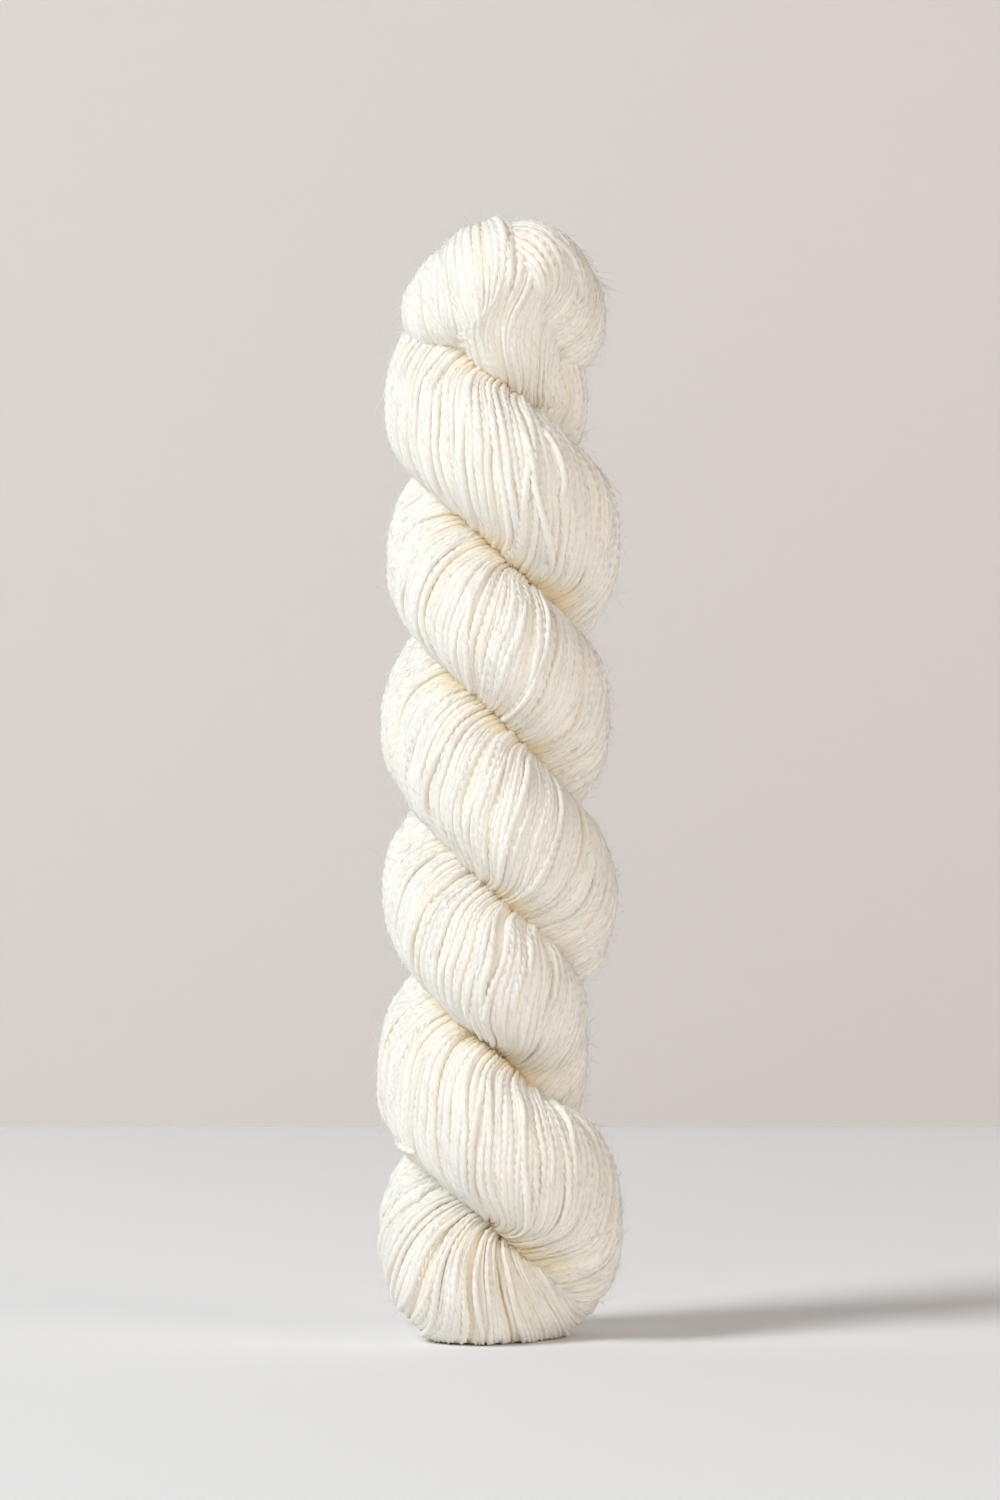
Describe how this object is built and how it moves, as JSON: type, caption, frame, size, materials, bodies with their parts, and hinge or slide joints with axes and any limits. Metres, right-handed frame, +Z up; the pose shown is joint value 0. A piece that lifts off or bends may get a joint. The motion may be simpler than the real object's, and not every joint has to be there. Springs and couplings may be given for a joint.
{
  "type": "hank of yarn",
  "caption": "Twisted hank of fine wool yarn, doubled back on itself and tucked at the head, standing upright on the flat of its fold.",
  "frame": {"origin": "centre of the flat spot that the hank stands on, at the middle of its box", "axes": "+Z up along the rope's axis, from the fold to the head; -Y towards the front, where the first lobe of the head shows; +X to the right seen from the front"},
  "size_m": [0.065, 0.0616, 0.2961],
  "materials": {
    "yarn": "matt undyed cream wool, soft and slightly fuzzy"
  },
  "bodies": {
    "root": {"hank": "yarn"}
  },
  "joints": []
}
